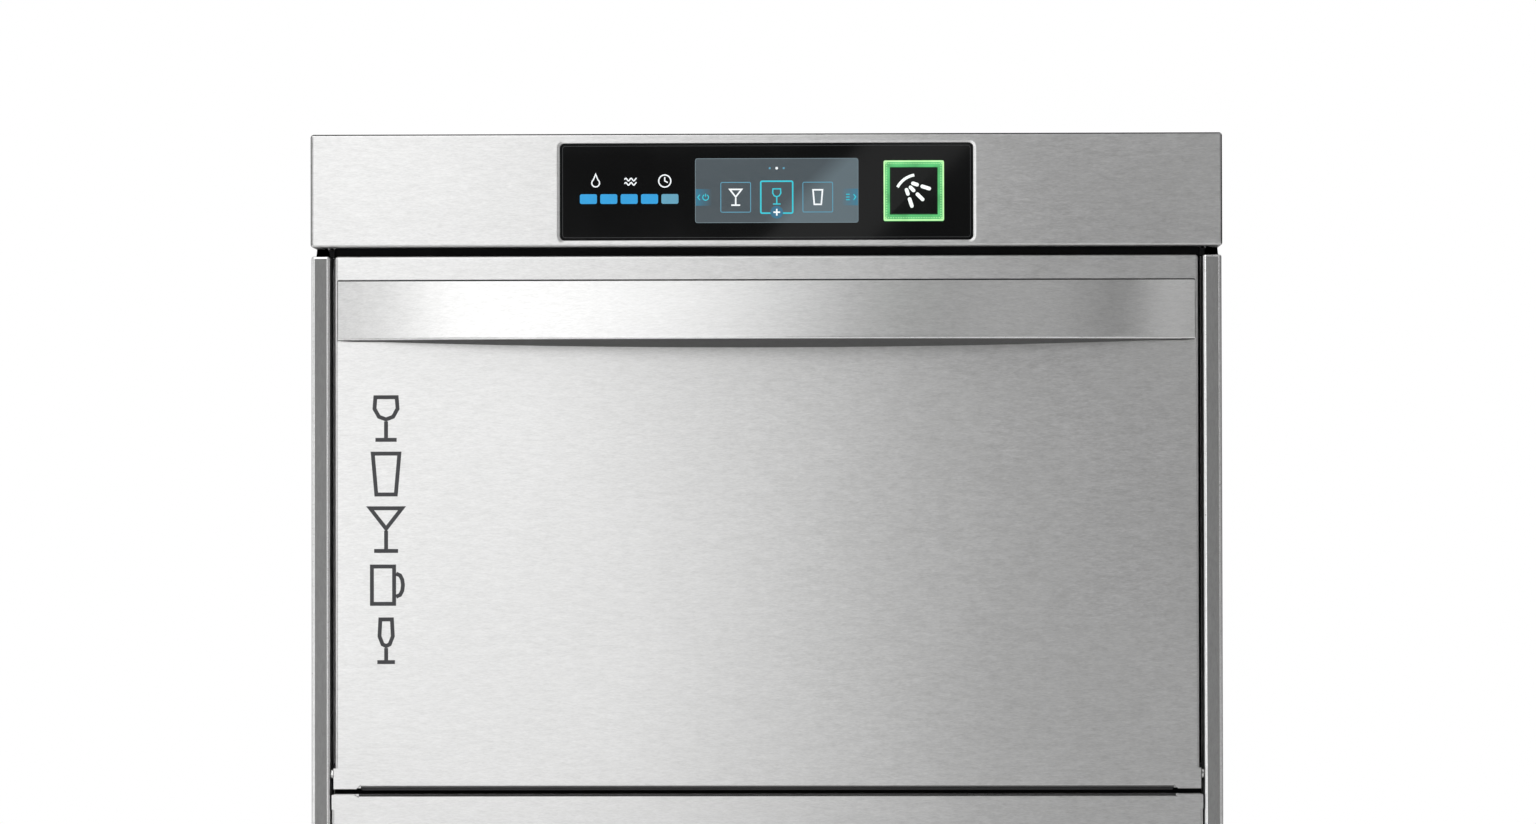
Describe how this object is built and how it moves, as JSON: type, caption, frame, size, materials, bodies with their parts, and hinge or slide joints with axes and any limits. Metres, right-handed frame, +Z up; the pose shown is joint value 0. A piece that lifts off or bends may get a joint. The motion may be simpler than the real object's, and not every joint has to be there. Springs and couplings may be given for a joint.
{
  "type": "glass washer machine",
  "caption": "Under-counter commercial glass washer in brushed stainless steel, with a drop-down door, bowed sheet handle, black glass control panel and levelling feet.",
  "frame": {"origin": "on the floor, under the middle of the machine's overall box", "axes": "+Z up, -Y towards the front with the door and controls, +X to the right as seen from the front"},
  "size_m": [0.6, 0.637, 0.725],
  "materials": {
    "steel": "brushed stainless steel",
    "bright_steel": "bright turned or drawn stainless steel",
    "black_glass": "black glass, gloss",
    "display": "backlit display, blue grey",
    "button": "black button, gloss",
    "green_light": "green light guide",
    "black_plastic": "black moulded plastic",
    "grey_plastic": "grey moulded plastic",
    "blue_plastic": "blue moulded plastic",
    "rubber": "black elastomer",
    "motor_paint": "dark grey motor paint"
  },
  "bodies": {
    "root": {"top_cover": "steel", "left_side_panel": "steel", "right_side_panel": "steel", "rear_panel": "steel", "connection_panel": "steel", "lower_front_panel": "steel", "base_tray": "steel", "chamber_front_frame": "steel", "chamber_shell": "steel", "chamber_rear_wall": "steel", "wash_tank": "steel", "rack_rail_left": "steel", "rack_rail_right": "steel", "strainer_left": "steel", "strainer_right": "steel", "boiler": "steel", "hinge_pin_left": "bright_steel", "hinge_pin_right": "bright_steel", "tank_heater": "bright_steel", "boiler_heater": "bright_steel", "lower_spindle": "bright_steel", "upper_spindle": "bright_steel", "riser_pipe": "bright_steel", "control_glass": "black_glass", "display_module": "display", "start_light_ring": "green_light", "control_housing": "black_plastic", "wash_pump_housing": "black_plastic", "rinse_pump": "black_plastic", "drain_pump": "black_plastic", "cable_gland": "black_plastic", "drain_outlet": "grey_plastic", "detergent_pump": "grey_plastic", "rinse_aid_pump": "grey_plastic", "electrics_box": "grey_plastic", "lower_arm_nut": "blue_plastic", "upper_arm_nut": "blue_plastic", "inlet_valve": "blue_plastic", "suction_hose": "rubber", "drain_hose": "rubber", "wash_pump_motor": "motor_paint"},
    "door": {"door_outer_skin": "steel", "door_inner_skin": "steel", "door_handle": "steel", "door_seal": "rubber", "hinge_bush_left": "black_plastic", "hinge_bush_right": "black_plastic", "door_spring_left": "bright_steel", "door_spring_right": "bright_steel"},
    "start_button": {"start_button": "button"},
    "filter": {"filter_cylinder": "steel"},
    "lower_wash_arm": {"lower_wash_arm": "steel"},
    "lower_rinse_arm": {"lower_rinse_arm": "steel"},
    "upper_wash_arm": {"upper_wash_arm": "steel"},
    "upper_rinse_arm": {"upper_rinse_arm": "steel"},
    "impeller": {"wash_pump_impeller": "grey_plastic"},
    "foot_front_left": {"foot_front_left": "bright_steel"},
    "foot_front_right": {"foot_front_right": "bright_steel"},
    "foot_rear_left": {"foot_rear_left": "bright_steel"},
    "foot_rear_right": {"foot_rear_right": "bright_steel"}
  },
  "joints": [
    {"name": "door_hinge", "type": "hinge", "parent": "root", "child": "door", "pos_m": [0, -0.2755, 0.3037], "axis": [1, 0, 0], "range_deg": [0, 90], "stiffness_Nm_per_rad": 4, "springref_deg": -17.19},
    {"name": "start_button_travel", "type": "slide", "parent": "root", "child": "start_button", "axis": [0, 1, 0], "range_m": [0, 0.0012], "stiffness_N_per_m": 900, "springref_m": -0.0008},
    {"name": "filter_lift", "type": "slide", "parent": "root", "child": "filter", "axis": [0, 0, 1], "range_m": [0, 0.15]},
    {"name": "lower_wash_arm_spin", "type": "hinge", "parent": "root", "child": "lower_wash_arm", "pos_m": [0, 0.0145, 0.2895], "axis": [0, 0, 1], "continuous": true},
    {"name": "lower_rinse_arm_spin", "type": "hinge", "parent": "root", "child": "lower_rinse_arm", "pos_m": [0, 0.0145, 0.3045], "axis": [0, 0, 1], "continuous": true},
    {"name": "upper_wash_arm_spin", "type": "hinge", "parent": "root", "child": "upper_wash_arm", "pos_m": [0, 0.0145, 0.66], "axis": [0, 0, 1], "continuous": true},
    {"name": "upper_rinse_arm_spin", "type": "hinge", "parent": "root", "child": "upper_rinse_arm", "pos_m": [0, 0.0145, 0.645], "axis": [0, 0, 1], "continuous": true},
    {"name": "wash_pump_spin", "type": "hinge", "parent": "root", "child": "impeller", "pos_m": [0, -0.06, 0.105], "axis": [1, 0, 0], "continuous": true},
    {"name": "foot_front_left_thread", "type": "slide", "parent": "root", "child": "foot_front_left", "axis": [0, 0, -1], "range_m": [0, 0.035]},
    {"name": "foot_front_right_thread", "type": "slide", "parent": "root", "child": "foot_front_right", "axis": [0, 0, -1], "range_m": [0, 0.035]},
    {"name": "foot_rear_left_thread", "type": "slide", "parent": "root", "child": "foot_rear_left", "axis": [0, 0, -1], "range_m": [0, 0.035]},
    {"name": "foot_rear_right_thread", "type": "slide", "parent": "root", "child": "foot_rear_right", "axis": [0, 0, -1], "range_m": [0, 0.035]}
  ]
}
